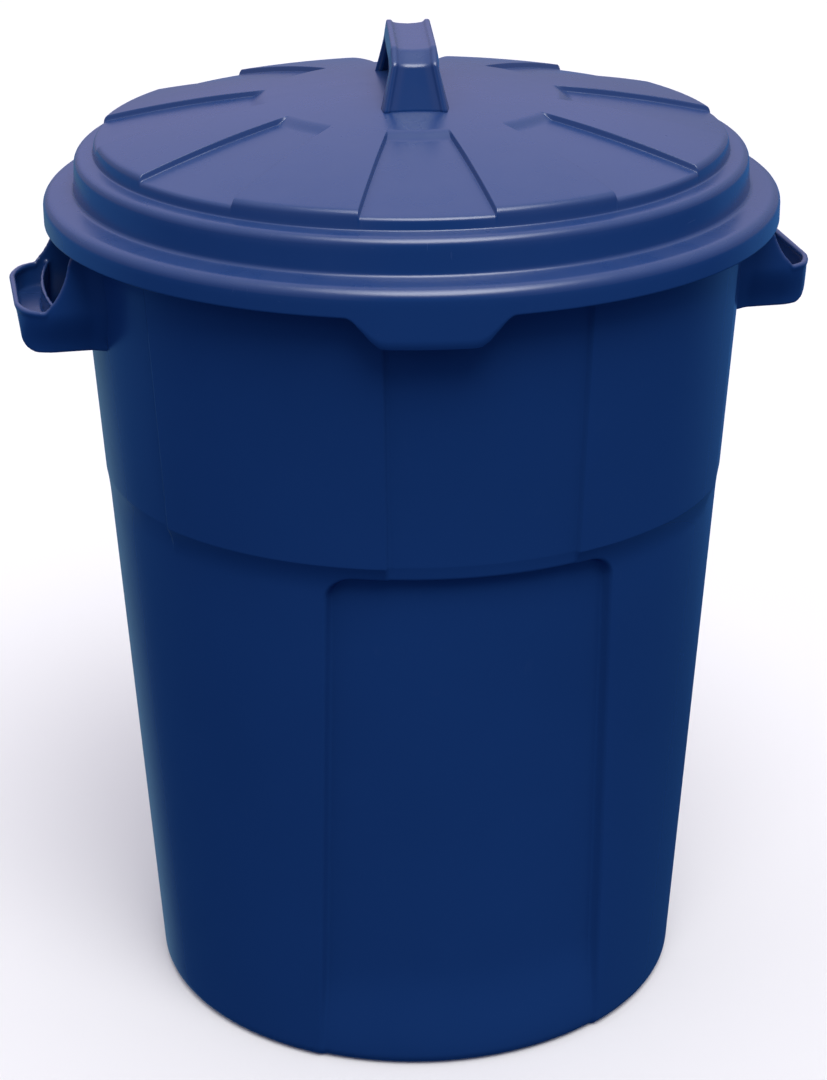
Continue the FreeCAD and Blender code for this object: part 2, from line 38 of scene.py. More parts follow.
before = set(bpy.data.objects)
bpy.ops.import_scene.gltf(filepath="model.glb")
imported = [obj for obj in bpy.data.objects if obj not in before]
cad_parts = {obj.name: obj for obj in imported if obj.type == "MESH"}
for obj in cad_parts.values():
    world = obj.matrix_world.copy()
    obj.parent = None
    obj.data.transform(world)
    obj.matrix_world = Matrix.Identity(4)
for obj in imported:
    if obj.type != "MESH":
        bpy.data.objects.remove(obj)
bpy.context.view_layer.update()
TUB_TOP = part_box("tub_shell")[1].z
LIP_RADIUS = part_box("tub_shell")[1].x
LID_RADIUS = 0.290
DOME_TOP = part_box("lid_shell")[1].z
TAB_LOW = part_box("lid_shell")[0].z
STRAP_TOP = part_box("lid_strap_handle")[1].z

# The lid lies on the tub turned by this much, seen from above.
LID_TURN = math.radians(-8.3)


# ---------------------------------------------------------------- helpers


MOST_OF_RUN = 0.48


def ease(value):
    """A smooth climb from 0 to 1 while value goes from 0 to 1."""
    value = np.clip(value, 0.0, 1.0)
    return value * value * (3.0 - 2.0 * value)


def mix(low, high, share):
    return low + (high - low) * share


def spread(*stretches):
    """Places along a line: each stretch is (start, end, largest step), and one starts where the
    last ended."""
    places = []
    for start, end, step in stretches:
        count = max(1, math.ceil(abs(end - start) / step - 1e-6))
        places.extend(np.linspace(start, end, count, endpoint=False))
    places.append(stretches[-1][1])
    return np.array(places)


def rounded(corners, arc_points):
    """Points along a line through corners (radius, height, fillet, steps of the run that arrives),
    with each corner rounded by an arc that takes up less than half of the shorter run beside it.
    Two lines with the same steps give the same number of points."""
    places = [np.array(corner[:2], float) for corner in corners]
    points = [places[0]]
    for index in range(1, len(corners)):
        last = index == len(corners) - 1
        fillet, steps = corners[index][2:]
        if last or fillet == 0.0:
            start, arc = places[index], []
        else:
            back = places[index - 1] - places[index]
            ahead = places[index + 1] - places[index]
            room = MOST_OF_RUN * min(np.linalg.norm(back), np.linalg.norm(ahead))
            back /= np.linalg.norm(back)
            ahead /= np.linalg.norm(ahead)
            half_open = math.acos(np.clip(back @ ahead, -1.0, 1.0)) / 2
            reach = min(fillet / math.tan(half_open), room)
            start = places[index] + back * reach
            end = places[index] + ahead * reach
            centre = places[index] + (back + ahead) * (reach / (1.0 + back @ ahead))
            sweep = math.pi - 2 * half_open
            arc = []
            for step in range(1, arc_points + 1):
                share = step / arc_points
                first = math.sin((1.0 - share) * sweep) / math.sin(sweep)
                second = math.sin(share * sweep) / math.sin(sweep)
                arc.append(centre + (start - centre) * first + (end - centre) * second)
        points.extend(mix(points[-1], start, step / steps) for step in range(1, steps + 1))
        points.extend(arc)
    return np.array(points)


def skin(name, rings, material):
    """A closed mesh from rings of points. A ring is an (n, 3) array, or a single point at either
    end; an end that is a full ring is closed by one face."""
    vertices = []
    starts = []
    for ring in rings:
        starts.append(len(vertices))
        vertices.extend(np.atleast_2d(ring).tolist())
    faces = []
    for index in range(len(rings) - 1):
        here, there = np.atleast_2d(rings[index]), np.atleast_2d(rings[index + 1])
        first, second = starts[index], starts[index + 1]
        count = max(len(here), len(there))
        for step in range(count):
            after = (step + 1) % count
            if len(here) == 1:
                faces.append((first, second + step, second + after))
            elif len(there) == 1:
                faces.append((first + step, second, first + after))
            else:
                faces.append((first + step, second + step, second + after, first + after))
    for ring, start in ((rings[0], starts[0]), (rings[-1], starts[-1])):
        if len(np.atleast_2d(ring)) > 1:
            faces.append(tuple(range(start, start + len(ring))))
    return piece(name, vertices, faces, material)


def piece(name, vertices, faces, material):
    mesh = bpy.data.meshes.new(name)
    mesh.from_pydata(vertices, [], faces)
    mesh.materials.append(material)
    made = bpy.data.objects.new(name, mesh)
    bpy.context.scene.collection.objects.link(made)
    tidy_mesh(made)
    return made


def tidy_mesh(made):
    """Faces all the faces outwards and shades them smoothly."""
    work = bmesh.new()
    work.from_mesh(made.data)
    bmesh.ops.recalc_face_normals(work, faces=work.faces)
    for face in work.faces:
        face.smooth = True
    work.to_mesh(made.data)
    work.free()


def around(azimuths, radii, heights):
    """A ring of points at azimuths measured from the front, -Y, towards +X."""
    azimuths = np.broadcast_to(azimuths, np.broadcast(azimuths, radii, heights).shape)
    heights = heights + 0 * azimuths
    return np.stack([radii * np.sin(azimuths), -radii * np.cos(azimuths), heights], axis=-1)


def turned(points, angle):
    """Points turned about the upright axis."""
    cosine, sine = math.cos(angle), math.sin(angle)
    points = np.atleast_2d(points)
    x = points[:, 0] * cosine - points[:, 1] * sine
    y = points[:, 0] * sine + points[:, 1] * cosine
    return np.stack([x, y, points[:, 2]], axis=-1)


# ---------------------------------------------------------------- tub

DRAFT = 0.0633
PAD_RADIUS = 0.2215
COLLAR_RADIUS = 0.2270
PANEL_DEPTH = 0.0042
PANEL_EDGE = 0.0018
FRONT_PANEL = math.radians(16.6)
FRONT_PANEL_MIDDLE = math.radians(1.4)
SIDE_PANEL = math.radians(58.5)
COLLAR_FILLET_LOW = 0.431
COLLAR_EDGE = 0.4565
COLLAR_SWEEP = 2.3
RECESS_TOP = 0.446
RECESS_HALF_TOP = 0.111
RECESS_HALF_FOOT = 0.1175
RECESS_CORNER = 0.021
RECESS_DEPTH = 0.0085
RECESS_SIDE = 0.0038
RECESS_FADE = 0.090
RECESS_FOOT_SHARE = 0.25
TUB_WALL = 0.003
FOOT_ROUND = 0.010
FOOT_STEPS = 6
FOOT_RING = 0.190
FOOT_LIFT = 0.006
FOOT_BEVEL = 0.0012
STILL_AZIMUTH = math.radians(75.0)
RIM_ROOT = 0.668
RIM_SKIN = 0.003
RIM_UNDER = TUB_TOP - 0.0062
RIM_BORE = 0.2655
RIM_LIP_LOW = 0.664
CREST_RADIUS = 0.278


def recess_half(height):
    return mix(RECESS_HALF_FOOT, RECESS_HALF_TOP, height / RECESS_TOP)


def collar_share(height):
    """0 on the lower wall and 1 on the collar: a soft fillet that climbs out to a crisp edge."""
    climb = np.clip((height - COLLAR_FILLET_LOW) / (COLLAR_EDGE - COLLAR_FILLET_LOW), 0.0, 1.0)
    return climb**COLLAR_SWEEP


def recess_share(azimuths, radii, height):
    """0 on the pads and 1 on the floor of the tall recess in the front and in the back."""
    across = np.abs(radii * np.sin(azimuths)) - recess_half(height) + RECESS_CORNER
    up = height - RECESS_TOP + RECESS_CORNER
    outside = np.hypot(np.maximum(across, 0.0), max(up, 0.0))
    inside = np.minimum(np.maximum(across, up), 0.0)
    distance = outside + inside - RECESS_CORNER
    foot_fade = mix(RECESS_FOOT_SHARE, 1.0, float(ease(height / RECESS_FADE)))
    return foot_fade * ease(-distance / RECESS_SIDE)


def panel_share(azimuths, radii):
    """1 on the set-back panels of the collar, at the front, the back and the sides."""
    folded = np.arctan2(np.abs(np.sin(azimuths)), np.abs(np.cos(azimuths)))
    off_middle = np.abs(np.mod(azimuths - FRONT_PANEL_MIDDLE + math.pi / 2, math.pi) - math.pi / 2)
    front = ease((FRONT_PANEL - off_middle) * radii / PANEL_EDGE + 0.5)
    side = ease((folded - SIDE_PANEL) * radii / PANEL_EDGE + 0.5)
    return np.maximum(front, side)


def wall_radius(azimuths, height):
    """Outside radius of the tub's wall."""
    lean = DRAFT * height
    pad = PAD_RADIUS + lean + 0 * azimuths
    pad = pad - RECESS_DEPTH * recess_share(azimuths, pad, height)
    collar = COLLAR_RADIUS + lean - PANEL_DEPTH * panel_share(azimuths, COLLAR_RADIUS + lean)
    return mix(pad, collar, collar_share(height))


def tub_azimuths():
    """A quarter's columns, close together at the edges of the recess and of the collar panels,
    four times. They are given at the top of the recess, whose edge they follow down to the
    floor. The stretches are in degrees."""
    edge = math.degrees(math.asin(RECESS_HALF_TOP / (PAD_RADIUS + DRAFT * RECESS_TOP)))
    quarter = spread(
        (0.0, 14.6, 1.6),
        (14.6, 18.8, 0.3),
        (18.8, edge - 4.6, 0.5),
        (edge - 4.6, edge + 0.8, 0.3),
        (edge + 0.8, 57.4, 1.6),
        (57.4, 59.6, 0.3),
        (59.6, 90.0, 1.8),
    )
    half = np.concatenate([quarter, 180.0 - quarter[-2::-1]])
    whole = np.concatenate([half, 180.0 + half[1:-1]])
    return np.radians(whole), math.radians(edge)


TUB_COLUMNS, TUB_EDGE_TOP = tub_azimuths()


def columns_at(height):
    """The columns at a height: below the collar they move apart with the edge of the recess, and
    those at the sides stay where they are."""
    low = min(height, RECESS_TOP)
    edge = math.asin(recess_half(low) / (PAD_RADIUS + DRAFT * low))
    folded = np.arctan2(np.abs(np.sin(TUB_COLUMNS)), np.abs(np.cos(TUB_COLUMNS)))
    given = [0.0, TUB_EDGE_TOP, STILL_AZIMUTH, math.pi / 2]
    moved = np.interp(folded, given, [0.0, edge, STILL_AZIMUTH, math.pi / 2])
    sine = np.sin(moved) * np.sign(np.sin(TUB_COLUMNS))
    cosine = np.cos(moved) * np.sign(np.cos(TUB_COLUMNS))
    return np.arctan2(sine, cosine)


def wall_rings(heights, inset):
    rings = []
    for height in heights:
        columns = columns_at(height)
        rings.append(around(columns, wall_radius(columns, height) - inset, height))
    return rings


def foot_rings(inset, floor, round_radius):
    """The rounded edge between floor and wall, from the floor out."""
    rings = []
    for share in np.linspace(0.0, 1.0, FOOT_STEPS + 1)[:-1]:
        angle = share * math.pi / 2
        height = floor + round_radius * (1 - math.cos(angle))
        columns = columns_at(height)
        radii = wall_radius(columns, floor + round_radius) - inset
        radii = radii - round_radius * (1 - math.sin(angle))
        rings.append(around(columns, radii, height))
    return rings


def make_tub(material):
    heights = spread(
        (FOOT_ROUND, 0.40, 0.010),
        (0.40, 0.418, 0.003),
        (0.418, 0.4545, 0.0014),
        (0.4545, 0.4595, 0.0007),
        (0.4595, 0.475, 0.004),
        (0.475, RIM_ROOT, 0.016),
    )
    floor_columns = columns_at(0.0)
    inner_floor = FOOT_LIFT + TUB_WALL
    rim_profile = rounded(
        [
            (0.2705, RIM_ROOT, 0, 1),
            (0.2735, RIM_UNDER, 0.002, 2),
            (LIP_RADIUS - RIM_SKIN, RIM_UNDER, 0.002, 2),
            (LIP_RADIUS - RIM_SKIN, RIM_LIP_LOW, 0.0012, 3),
            (LIP_RADIUS, RIM_LIP_LOW, 0.0012, 1),
            (LIP_RADIUS, TUB_TOP - 0.003, 0.004, 3),
            (CREST_RADIUS, TUB_TOP, 0.004, 2),
            (RIM_BORE + 0.001, TUB_TOP, 0.002, 2),
            (RIM_BORE, TUB_TOP - 0.004, 0, 2),
        ],
        3,
    )
    rings = [np.array([[0.0, 0.0, FOOT_LIFT]])]
    rings += [around(floor_columns, radius, FOOT_LIFT) for radius in (0.06, 0.12, 0.186)]
    rings += [
        around(floor_columns, FOOT_RING, FOOT_LIFT - FOOT_BEVEL),
        around(floor_columns, FOOT_RING + 0.003, FOOT_BEVEL),
        around(floor_columns, FOOT_RING + 0.0045, 0.0),
    ]
    rings += foot_rings(0.0, 0.0, FOOT_ROUND)
    rings += wall_rings(heights[:-1], 0.0)
    rings += [around(columns_at(height), radius, height) for radius, height in rim_profile]
    rings += wall_rings([RIM_ROOT - TUB_WALL, 0.60, 0.50, *heights[::-2][6:-1]], TUB_WALL)
    rings += foot_rings(TUB_WALL, inner_floor, FOOT_ROUND)[::-1]
    rings += [around(floor_columns, radius, inner_floor) for radius in (0.16, 0.10, 0.05)]
    rings.append(np.array([[0.0, 0.0, inner_floor]]))
    return skin("tub_skin", rings, material)


# ---------------------------------------------------------------- lid

LID_SKIN = 0.0027
SKIRT_LOW = 0.6605
SKIRT_TOP = 0.6655
SHOULDER_HIGH = 0.6815
STEP_FOOT = (0.2658, 0.6840)
STEP_HEAD = (0.2643, 0.7112)
LEDGE = (0.2495, 0.7125)
DOME_EDGE = (0.2480, 0.7260)
CHANNEL_EDGE = (0.2483, 0.7215)
SHOULDER_ROUND = 0.012
STEP_FOOT_ROUND = 0.0034
STEP_HEAD_ROUND = 0.0065
LEDGE_ROUND = 0.0015
DOME_EDGE_ROUND = 0.006
CHANNEL_EDGE_ROUND = 0.004
LEAST_ROUND = 0.0005
SKIRT_EDGE = 0.0008
CHANNELS = 8
CHANNEL_HALF = math.radians(22.5 / 2)
CHANNEL_WIDER_INSIDE = 0.004
CHANNEL_END = 0.114
CHANNEL_RAMP = 0.013
CHANNEL_DEPTH = 0.0042
CHANNEL_BULGE = 0.8
CHANNEL_SIDE = 0.0013
CHANNEL_SIDE_FROM = 0.11
TAB_HALF_TOP = 0.061
TAB_HALF_LOW = 0.033

DOME_RISE = DOME_TOP - DOME_EDGE[1]
DOME_BALL = (DOME_EDGE[0] ** 2 + DOME_RISE**2) / (2 * DOME_RISE)


def dome_height(radius):
    return DOME_TOP - DOME_BALL + math.sqrt(DOME_BALL**2 - radius**2)


def channel_height(radius):
    """Height along the middle of a channel: a short soft ramp down from the dome at its inner
    end, then a line that bulges a little less than the dome."""
    foot = CHANNEL_END + CHANNEL_RAMP
    foot_height = dome_height(foot) - CHANNEL_DEPTH
    if radius < foot + 0.004:
        down = float(ease((radius - CHANNEL_END) / CHANNEL_RAMP))
        return dome_height(radius) - CHANNEL_DEPTH * down
    share = (radius - foot) / (CHANNEL_EDGE[0] - foot)
    straight = mix(foot_height, CHANNEL_EDGE[1], share)
    bulge = dome_height(radius) - mix(dome_height(foot), DOME_EDGE[1], share)
    return straight + bulge * CHANNEL_BULGE


def lid_lines(inset):
    """The lid's half sections through a raised sector and through a channel, set in by inset."""
    radii = spread(
        (0.012, 0.108, 0.012),
        (0.108, 0.130, 0.0011),
        (0.130, 0.238, 0.009),
    )
    tail = [
        (LEDGE[0] - inset, LEDGE[1] - inset, LEDGE_ROUND + inset, 3),
        (STEP_HEAD[0] - inset, STEP_HEAD[1] - inset, STEP_HEAD_ROUND - inset, 2),
        (STEP_FOOT[0] - inset, STEP_FOOT[1] - inset, STEP_FOOT_ROUND + inset, 4),
        (LID_RADIUS - inset, SHOULDER_HIGH - inset, SHOULDER_ROUND - inset, 4),
        (LID_RADIUS - inset, SKIRT_TOP, 0, 2),
    ]
    lines = []
    for height_at, edge, edge_round in (
        (dome_height, DOME_EDGE, DOME_EDGE_ROUND),
        (channel_height, CHANNEL_EDGE, CHANNEL_EDGE_ROUND),
    ):
        inner = [(radius, height_at(radius) - inset) for radius in radii]
        corner_round = max(edge_round - inset, LEAST_ROUND)
        corners = [(*inner[-1], 0, 1), (edge[0] - inset, edge[1] - inset, corner_round, 2), *tail]
        lines.append(np.concatenate([np.array(inner[:-1]), rounded(corners, 6)]))
    return lines


def lid_azimuths():
    """Columns close together at the sides of the channels."""
    half = math.degrees(CHANNEL_HALF)
    sector = 360.0 / CHANNELS
    near, coarse, fine = 0.6, 1.3, 0.08
    part = spread(
        (0.0, half - near, coarse),
        (half - near, half + near, fine),
        (half + near, sector - half - near, coarse),
        (sector - half - near, sector - half + near, fine),
        (sector - half + near, sector, coarse),
    )[:-1]
    return np.radians(np.concatenate([part + sector * index for index in range(CHANNELS)]))


LID_COLUMNS = lid_azimuths()


def channel_share(radius, widen):
    """1 in a channel and 0 on the raised sectors between: the channels' sides are short slopes,
    as wide everywhere as CHANNEL_SIDE except close to the middle of the lid."""
    sector = 2 * math.pi / CHANNELS
    folded = np.abs((LID_COLUMNS + sector / 2) % sector - sector / 2)
    side = CHANNEL_SIDE / max(radius, CHANNEL_SIDE_FROM)
    return np.clip((CHANNEL_HALF + widen - folded) / side + 0.5, 0.0, 1.0)


def skirt_low():
    """Height of the lower edge of the skirt, which drops into the pull tab at the front."""
    across = np.abs(LID_RADIUS * np.sin(LID_COLUMNS))
    at_front = np.cos(LID_COLUMNS) > 0
    share = ease((across - TAB_HALF_LOW) / (TAB_HALF_TOP - TAB_HALF_LOW))
    return np.where(at_front, mix(TAB_LOW, SKIRT_LOW, share), SKIRT_LOW)


def lid_rings(inset, widen):
    rings = []
    for raised, sunk in zip(*lid_lines(inset)):
        share = channel_share(raised[0], widen)
        radii, heights = (mix(raised[axis], sunk[axis], share) for axis in (0, 1))
        rings.append(around(LID_COLUMNS, radii, heights))
    return rings


def skirt_rings(radius, shares):
    """Rings down the skirt, each at a share of the way from its top to the edge's rounding."""
    edge_top = skirt_low() + SKIRT_EDGE
    return [around(LID_COLUMNS, radius, mix(SKIRT_TOP, edge_top, share)) for share in shares]


def make_lid(material):
    inside = LID_RADIUS - LID_SKIN
    rings = [np.array([[0.0, 0.0, DOME_TOP]])]
    rings += lid_rings(0.0, 0.0)
    rings += skirt_rings(LID_RADIUS, (0.25, 0.5, 0.75, 1.0))
    rings.append(around(LID_COLUMNS, LID_RADIUS - SKIRT_EDGE, skirt_low()))
    rings.append(around(LID_COLUMNS, inside + SKIRT_EDGE, skirt_low()))
    rings += skirt_rings(inside, (1.0, 0.6, 0.3))
    rings += lid_rings(LID_SKIN, CHANNEL_WIDER_INSIDE)[::-1]
    rings.append(np.array([[0.0, 0.0, DOME_TOP - LID_SKIN]]))
    return skin("lid_skin", [turned(ring, LID_TURN) for ring in rings], material)


# ---------------------------------------------------------------- strap handle of the lid

STRAP_LINE = ((0.0765, 0.7535), (0.0660, 0.7900), (0.0500, STRAP_TOP))
STRAP_BENDS = (0.006, 0.010)
STRAP_DEPTH = 0.012
STRAP_RIB = 0.0045
STRAP_HALF_TOP = 0.0172
STRAP_HALF_FOOT = 0.0245
STRAP_SPLAY = 0.18
# Shares of the inset by which the inner line's corners move down at the bend and in at the flat.
BEND_DOWN = 0.7
FLAT_IN = 0.4


def strap_side(inset):
    """Points of the strap's side view, (along, height), at one depth below its outer line."""
    (foot, low), (bend, bend_high), (flat, high) = STRAP_LINE
    half = [
        (foot - inset, low, 0, 1),
        (bend - inset, bend_high - BEND_DOWN * inset, STRAP_BENDS[0], 10),
        (flat - FLAT_IN * inset, high - inset, STRAP_BENDS[1], 5),
    ]
    back = [(along, height, fillet) for along, height, fillet, _ in reversed(half)]
    corners = [(-along, height, fillet, steps) for along, height, fillet, steps in half]
    corners += [(*corner, steps) for corner, steps in zip(back, (24, 5, 10))]
    return rounded(corners, 6)


def strap_section(half):
    """Places round the strap's section, (across, depth): a rib down each side and a dished web
    between."""
    web = half - STRAP_RIB
    right = [
        (0.0, 0.0030),
        (0.5 * web, 0.0027),
        (web - 0.0016, 0.0020),
        (web - 0.0005, 0.0014),
        (web + 0.0003, 0.0005),
        (web + 0.0011, 0.0),
        (half - 0.0012, 0.0),
        (half - 0.0003, 0.0004),
        (half + 0.0001, 0.0013),
        (half + STRAP_SPLAY * 0.0070, 0.0070),
        (half + STRAP_SPLAY * 0.0110, 0.0110),
        (half + STRAP_SPLAY * 0.0110 - 0.0006, 0.0118),
        (half - 0.0014, STRAP_DEPTH),
        (web + 0.0012, 0.0118),
        (web + 0.0004, 0.0108),
        (web - 0.0004, 0.0078),
        (web - 0.0018, 0.0066),
        (0.5 * web, 0.0064),
        (0.0, 0.0063),
    ]
    return right + [(-across, depth) for across, depth in right[-2:0:-1]]


def make_strap(material):
    outer = strap_side(0.0)
    inner = strap_side(STRAP_DEPTH)
    low, high = STRAP_LINE[0][1], STRAP_LINE[1][1]
    rings = []
    for near, far in zip(outer, inner):
        share = float(np.clip((near[1] - low) / (high - low), 0.0, 1.0))
        ring = []
        for across, depth in strap_section(mix(STRAP_HALF_FOOT, STRAP_HALF_TOP, share)):
            along, height = mix(near, far, depth / STRAP_DEPTH)
            ring.append((across, along, height))
        rings.append(turned(np.array(ring), LID_TURN))
    return skin("strap_skin", rings, material)


# ---------------------------------------------------------------- side handles

GRIP_VOXEL = 0.0013
GRIP_SMOOTHINGS = 6
GRIP_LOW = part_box("right_side_handle")[0].z
GRIP_HALF = 0.062
GRIP_END_WALL = 0.006
GRIP_FLARE = 0.010
FLARE_FOOT_IN = 0.2
FLARE_HEIGHT = 0.036
FLARE_FROM = 0.025
FLARE_RUN = 0.030
GRIP_LINE_X = (0.2795, 0.298)
GRIP_LINE_HIGH = (0.651, 0.614)
GRIP_BEAD = 0.0009
BEAD_DROP = 0.0024
BEAD_START = 0.286
BEAD_FADE = 0.010
FILLET = 0.012
SUNK = 0.0027


def make_side_handle(node, material):
    """The handle's CAD solid with its edges rounded off, a bead along its upper edge, its end
    walls leaning out towards that edge, and a fillet where they meet the tub. Next to the tub
    it is sunk a little into the wall."""
    name = node.replace("handle", "grip")
    made = bpy.data.objects.new(name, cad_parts[node].data.copy())
    bpy.context.scene.collection.objects.link(made)
    remesh = made.modifiers.new("even", "REMESH")
    remesh.mode = "VOXEL"
    remesh.voxel_size = GRIP_VOXEL
    smooth = made.modifiers.new("soft", "SMOOTH")
    smooth.factor = 0.5
    smooth.iterations = GRIP_SMOOTHINGS
    shown = made.evaluated_get(bpy.context.evaluated_depsgraph_get())
    mesh = bpy.data.meshes.new_from_object(shown)
    made.modifiers.clear()
    made.data = mesh
    count = len(mesh.vertices)
    points = np.empty(count * 3)
    mesh.vertices.foreach_get("co", points)
    points = points.reshape(count, 3)
    normals = np.empty(count * 3)
    mesh.vertex_normals.foreach_get("vector", normals)
    normals = normals.reshape(count, 3)
    out = np.abs(points[:, 0])
    upper_edge = np.interp(out, GRIP_LINE_X, GRIP_LINE_HIGH)
    bead = GRIP_BEAD * np.exp(-(((upper_edge - points[:, 2] - BEAD_DROP) / BEAD_DROP) ** 2))
    bead *= ease((out - BEAD_START) / BEAD_FADE)
    points[:, :2] += normals[:, :2] * bead[:, None]
    x, y, z = points.T
    side = np.sign(x)
    radius = np.hypot(x, y)
    gap = radius - (COLLAR_RADIUS - PANEL_DEPTH + DRAFT * z)
    near = np.clip(1.0 - gap / FILLET, 0.0, 1.0)
    at_end_wall = np.abs(y) > GRIP_HALF - GRIP_END_WALL
    fillet = np.where(at_end_wall, FILLET * (1.0 - np.sqrt(1.0 - near**2)), 0.0)
    end = ease((np.abs(y) - FLARE_FROM) / FLARE_RUN)
    flare = GRIP_FLARE * (ease((z - GRIP_LOW) / FLARE_HEIGHT) * end - FLARE_FOOT_IN) * end
    y += np.sign(y) * (fillet + flare)
    radius -= SUNK * ease(1.0 - gap / (2 * SUNK))
    x = side * np.sqrt(radius**2 - y**2)
    mesh.vertices.foreach_set("co", np.stack([x, y, z], axis=-1).ravel())
    mesh.materials.clear()
    mesh.materials.append(material)
    tidy_mesh(made)
    return made


# ---------------------------------------------------------------- materials


class Nodes:
    """Short ways to add and join the nodes of one tree."""

    def __init__(self, tree):
        self.tree = tree

    def put(self, place, value):
        if isinstance(value, bpy.types.NodeSocket):
            self.tree.links.new(value, place)
        else:
            place.default_value = value

    def add(self, kind, inputs, **settings):
        made = self.tree.nodes.new(kind)
        for setting, value in settings.items():
            setattr(made, setting, value)
        for place, value in inputs.items():
            self.put(made.inputs[place], value)
        return made

    def math(self, operation, first, second, clamp=False):
        settings = {"operation": operation, "use_clamp": clamp}
        return self.add("ShaderNodeMath", {0: first, 1: second}, **settings).outputs[0]

    def dot(self, first, second):
        made = self.add("ShaderNodeVectorMath", {0: first, 1: second}, operation="DOT_PRODUCT")
        return made.outputs["Value"]

    def noise(self, where, scale, detail, roughness):
        inputs = {"Vector": where, "Scale": scale, "Detail": detail, "Roughness": roughness}
        return self.add("ShaderNodeTexNoise", inputs).outputs["Fac"]

    def stretched(self, where, turn, scale):
        inputs = {"Vector": where, "Rotation": turn, "Scale": scale}
        return self.add("ShaderNodeMapping", inputs).outputs[0]

    def between(self, value, low, high, to_low=0.0, to_high=1.0):
        inputs = {"Value": value, "From Min": low, "From Max": high}
        inputs.update({"To Min": to_low, "To Max": to_high})
        return self.add("ShaderNodeMapRange", inputs, clamp=True).outputs["Result"]

    def mixed(self, share, first, second):
        made = self.tree.nodes.new("ShaderNodeMix")
        made.data_type = "RGBA"
        colours = [socket for socket in made.inputs if socket.type == "RGBA"]
        self.put(made.inputs[0], share)
        self.put(colours[0], first)
        self.put(colours[1], second)
        return next(socket for socket in made.outputs if socket.type == "RGBA")


NAVY = (0.0100, 0.0485, 0.1890, 1)
DEEP_NAVY = (0.0092, 0.0450, 0.1760, 1)
SCUFF_COLOUR = (0.060, 0.110, 0.270, 1)
# The dust colour, share and roughness below belong to one layer on what faces up: partly dust,
# partly a painted sheen that lightens tops.
DUST_AND_SHEEN_COLOUR = (0.300, 0.300, 0.340, 1)
ROUGHNESS = (0.235, 0.265)
SCUFF_ROUGHER = 0.25
DUST_AND_SHEEN_ROUGHER = 0.05
DUST_AND_SHEEN_SHARE = 0.05
# Heights of the bumps, in metres: grain and ripple stand out, a scratch is cut in.
GRAIN_HEIGHT = 0.000012
RIPPLE_HEIGHT = 0.0004
SCRATCH_DEPTH = 0.00004
BUMP_STRENGTH = 0.35
# Each way the scratches run: (turn, scale, the noise from which a stroke shows in full).
SCRATCH_WAYS = (
    ((0.3, 0.1, 0.5), (34.0, 30.0, 420.0), 0.745),
    ((0.9, 0.4, 1.2), (38.0, 400.0, 42.0), 0.750),
    ((0.1, 1.4, 0.3), (410.0, 33.0, 40.0), 0.750),
)
STROKE_SOFTNESS = 0.03


def plastic(name, dust_and_sheen_most, scuff_most):
    """Moulded satin polyethylene: a hair of cloudiness, fine grain, a few rubbed scratches, and
    a pale grey on what faces up that is partly dust and partly painted sheen."""
    material = bpy.data.materials.new(name)
    material.use_nodes = True
    nodes = Nodes(material.node_tree)
    shader = material.node_tree.nodes["Principled BSDF"]
    where = nodes.add("ShaderNodeTexCoord", {}).outputs["Object"]
    normal = nodes.add("ShaderNodeNewGeometry", {}).outputs["Normal"]
    facing_up = nodes.add("ShaderNodeSeparateXYZ", {0: normal}).outputs["Z"]

    cloud = nodes.noise(where, 5.0, 3.0, 0.55)
    patches = nodes.noise(where, 38.0, 2.0, 0.5)
    grain = nodes.noise(where, 950.0, 2.0, 0.6)
    ripple = nodes.noise(where, 26.0, 1.0, 0.4)

    scratches = 0.0
    for turn, scale, high in SCRATCH_WAYS:
        noise = nodes.noise(nodes.stretched(where, turn, scale), 1.0, 2.0, 0.4)
        strokes = nodes.between(noise, high - STROKE_SOFTNESS, high)
        scratches = nodes.math("MAXIMUM", strokes, scratches)
    rubbed = nodes.math("MULTIPLY", scratches, nodes.between(patches, 0.48, 0.66))
    scuff = nodes.math("MULTIPLY", rubbed, scuff_most)

    # Painted sheen and dust: what faces up is made paler, partly dust and partly a painted stand-in
    # for the sky's reflection on tops.
    lying = nodes.between(facing_up, 0.25, 0.95)
    dust_and_sheen = nodes.math("MULTIPLY", lying, nodes.between(patches, 0.25, 0.75, 0.4, dust_and_sheen_most))

    body = nodes.mixed(nodes.between(cloud, 0.3, 0.7), DEEP_NAVY, NAVY)
    worn = nodes.mixed(scuff, body, SCUFF_COLOUR)
    # The base colour with the pale grey of dust and painted sheen laid over what faces up.
    with_dust_and_sheen = nodes.mixed(nodes.math("MULTIPLY", dust_and_sheen, DUST_AND_SHEEN_SHARE), worn, DUST_AND_SHEEN_COLOUR)
    nodes.put(shader.inputs["Base Color"], with_dust_and_sheen)

    rough = nodes.between(patches, 0.2, 0.8, *ROUGHNESS)
    rough = nodes.math("ADD", rough, nodes.math("MULTIPLY", scuff, SCUFF_ROUGHER))
    rough = nodes.math("ADD", rough, nodes.math("MULTIPLY", dust_and_sheen, DUST_AND_SHEEN_ROUGHER), clamp=True)
    nodes.put(shader.inputs["Roughness"], rough)
    shader.inputs["IOR"].default_value = 1.5

    grain_height = nodes.math("MULTIPLY", grain, GRAIN_HEIGHT)
    height = nodes.math("ADD", grain_height, nodes.math("MULTIPLY", ripple, RIPPLE_HEIGHT))
    height = nodes.math("SUBTRACT", height, nodes.math("MULTIPLY", rubbed, SCRATCH_DEPTH))
    bump = {"Height": height, "Distance": 1.0, "Strength": BUMP_STRENGTH}
    bump = nodes.add("ShaderNodeBump", bump)
    nodes.put(shader.inputs["Normal"], bump.outputs["Normal"])
    return material


# ---------------------------------------------------------------- camera, light and floor


CAMERA_DISTANCE = 2.0395
CAMERA_HEIGHT = 1.2321
CAMERA_SIDE = math.radians(10.9)
CAMERA_PITCH = math.radians(22.84)
CAMERA_ROLL = -0.0055
CAMERA_LENS = 88.12


